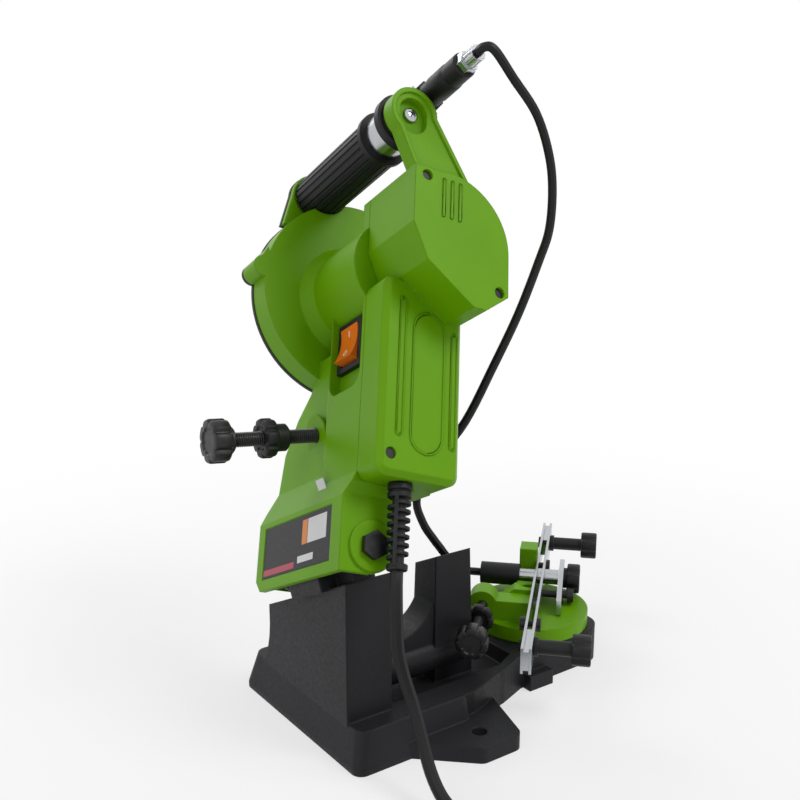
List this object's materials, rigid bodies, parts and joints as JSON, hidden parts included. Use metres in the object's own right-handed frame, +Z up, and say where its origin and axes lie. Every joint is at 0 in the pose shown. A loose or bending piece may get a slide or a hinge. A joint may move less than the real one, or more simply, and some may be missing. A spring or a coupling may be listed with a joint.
{
  "type": "chainsaw sharpener",
  "caption": "Bench chain sharpener: a motor head with guarded grinding wheel swings down on a slanted hinge to a swivelling chain vise worked by a lever on the handle.",
  "frame": {"origin": "midpoint between the two bench bolt holes, on the underside of the casting", "axes": "+Z up; -Y to the front, where the operator and the chain vise are; +X to the operator's right, the grinding wheel side"},
  "size_m": [0.3647, 0.332, 0.3637],
  "materials": {
    "green_plastic": "satin moulded",
    "black_plastic": "fine grain",
    "black_casting": "satin black paint",
    "rubber": "ribbed",
    "steel": "polished",
    "black_steel": "black oxide",
    "orange_plastic": "gloss",
    "abrasive": "bonded grit",
    "iron": "laminated",
    "copper": "wound wire",
    "brass": "pressed",
    "carbon": "dull",
    "nylon": "matt"
  },
  "bodies": {
    "base": {"base_casting": "black_casting", "hinge_bolt": "black_steel", "hinge_nut": "black_steel", "hinge_bushes": "nylon", "return_spring": "steel", "swivel_bolt": "steel", "power_cord": "rubber", "cord_coil": "rubber", "mains_plug": "black_plastic", "brake_cable_upper": "rubber", "brake_cable_lower": "rubber"},
    "head": {"arm_housing": "green_plastic", "motor_cover": "green_plastic", "guard_cover": "black_plastic", "stator_core": "iron", "field_coils": "copper", "ball_bearings": "steel", "bearing_sleeves": "black_plastic", "brush_holders": "brass", "carbon_brushes": "carbon", "switch_body": "black_plastic", "strain_relief": "rubber", "handle_grip": "rubber", "handle_tube": "steel", "lever_perch": "black_plastic", "lever_pivot": "steel", "cable_adjuster": "steel", "case_screws": "black_steel", "handle_screws": "steel"},
    "spindle": {"grinding_wheel": "abrasive", "wheel_flanges": "steel", "flange_screw": "black_steel", "motor_shaft": "steel", "armature_core": "iron", "armature_windings": "copper", "commutator": "copper", "cooling_fan": "nylon"},
    "rocker": {"switch_rocker": "orange_plastic"},
    "lever": {"brake_lever": "black_plastic"},
    "depth_screw_body": {"depth_screw": "black_steel"},
    "depth_lock": {"depth_lock_knob": "black_plastic"},
    "vise": {"turntable": "green_plastic", "rear_chain_rail": "steel", "front_chain_rail": "steel", "rail_screws": "black_steel", "chain_pegs": "black_steel", "clamp_cylinder": "black_plastic", "guide_bolt": "steel"},
    "clamp": {"clamp_rod": "steel", "clamp_plate": "steel", "clamp_knob": "black_plastic"},
    "stop_screw_body": {"stop_screw": "black_steel"},
    "stop_lock": {"stop_lock_knob": "black_plastic"},
    "swivel_lock": {"swivel_lock_knob": "black_plastic"}
  },
  "joints": [
    {"name": "head_hinge", "type": "hinge", "parent": "base", "child": "head", "pos_m": [0, 0.0545, 0.094], "axis": [0.8949, 0, -0.4462], "range_deg": [0, 60], "stiffness_Nm_per_rad": 2, "springref_deg": -45.84, "deforming": ["brake_cable_upper", "power_cord", "return_spring"]},
    {"name": "spindle_spin", "type": "hinge", "parent": "head", "child": "spindle", "pos_m": [0.06554, -0.00566, 0.2176], "axis": [0.8949, 0, -0.4462], "continuous": true},
    {"name": "switch_rock", "type": "hinge", "parent": "head", "child": "rocker", "pos_m": [0.01416, 0.02089, 0.20645], "axis": [0.8949, 0, -0.4462], "range_deg": [-18, 0]},
    {"name": "lever_pull", "type": "hinge", "parent": "head", "child": "lever", "pos_m": [0.02304, -0.02914, 0.33408], "axis": [0.3677, 0.5664, 0.7375], "range_deg": [0, 8], "stiffness_Nm_per_rad": 0.6, "springref_deg": -8.59},
    {"name": "depth_feed", "type": "slide", "parent": "head", "child": "depth_screw_body", "axis": [0.049, 0.994, 0.0982], "range_m": [0, 0.008]},
    {"name": "depth_lock_feed", "type": "slide", "parent": "head", "child": "depth_lock", "axis": [0.049, 0.994, 0.0982], "range_m": [-0.014, 0.008]},
    {"name": "vise_swivel", "type": "hinge", "parent": "base", "child": "vise", "pos_m": [-0.0035, -0.0965, 0.022], "axis": [0, 0, 1], "range_deg": [0, 90], "deforming": ["brake_cable_lower"]},
    {"name": "clamp_slide", "type": "slide", "parent": "vise", "child": "clamp", "axis": [0.7193, 0.6947, 0], "range_m": [0, 0.0017]},
    {"name": "stop_feed", "type": "slide", "parent": "vise", "child": "stop_screw_body", "axis": [0.6947, -0.7193, 0], "range_m": [-0.012, 0]},
    {"name": "stop_lock_feed", "type": "slide", "parent": "vise", "child": "stop_lock", "axis": [0.6947, -0.7193, 0], "range_m": [-0.001, 0.01]},
    {"name": "swivel_lock_turn", "type": "hinge", "parent": "base", "child": "swivel_lock", "pos_m": [-0.0035, -0.0965, 0.003], "axis": [0, 0, 1], "range_deg": [-60, 60]}
  ],
  "couplings": [
    {"joint": "lever_pull", "follows": "clamp_slide", "rad_per_m": 78.74}
  ]
}
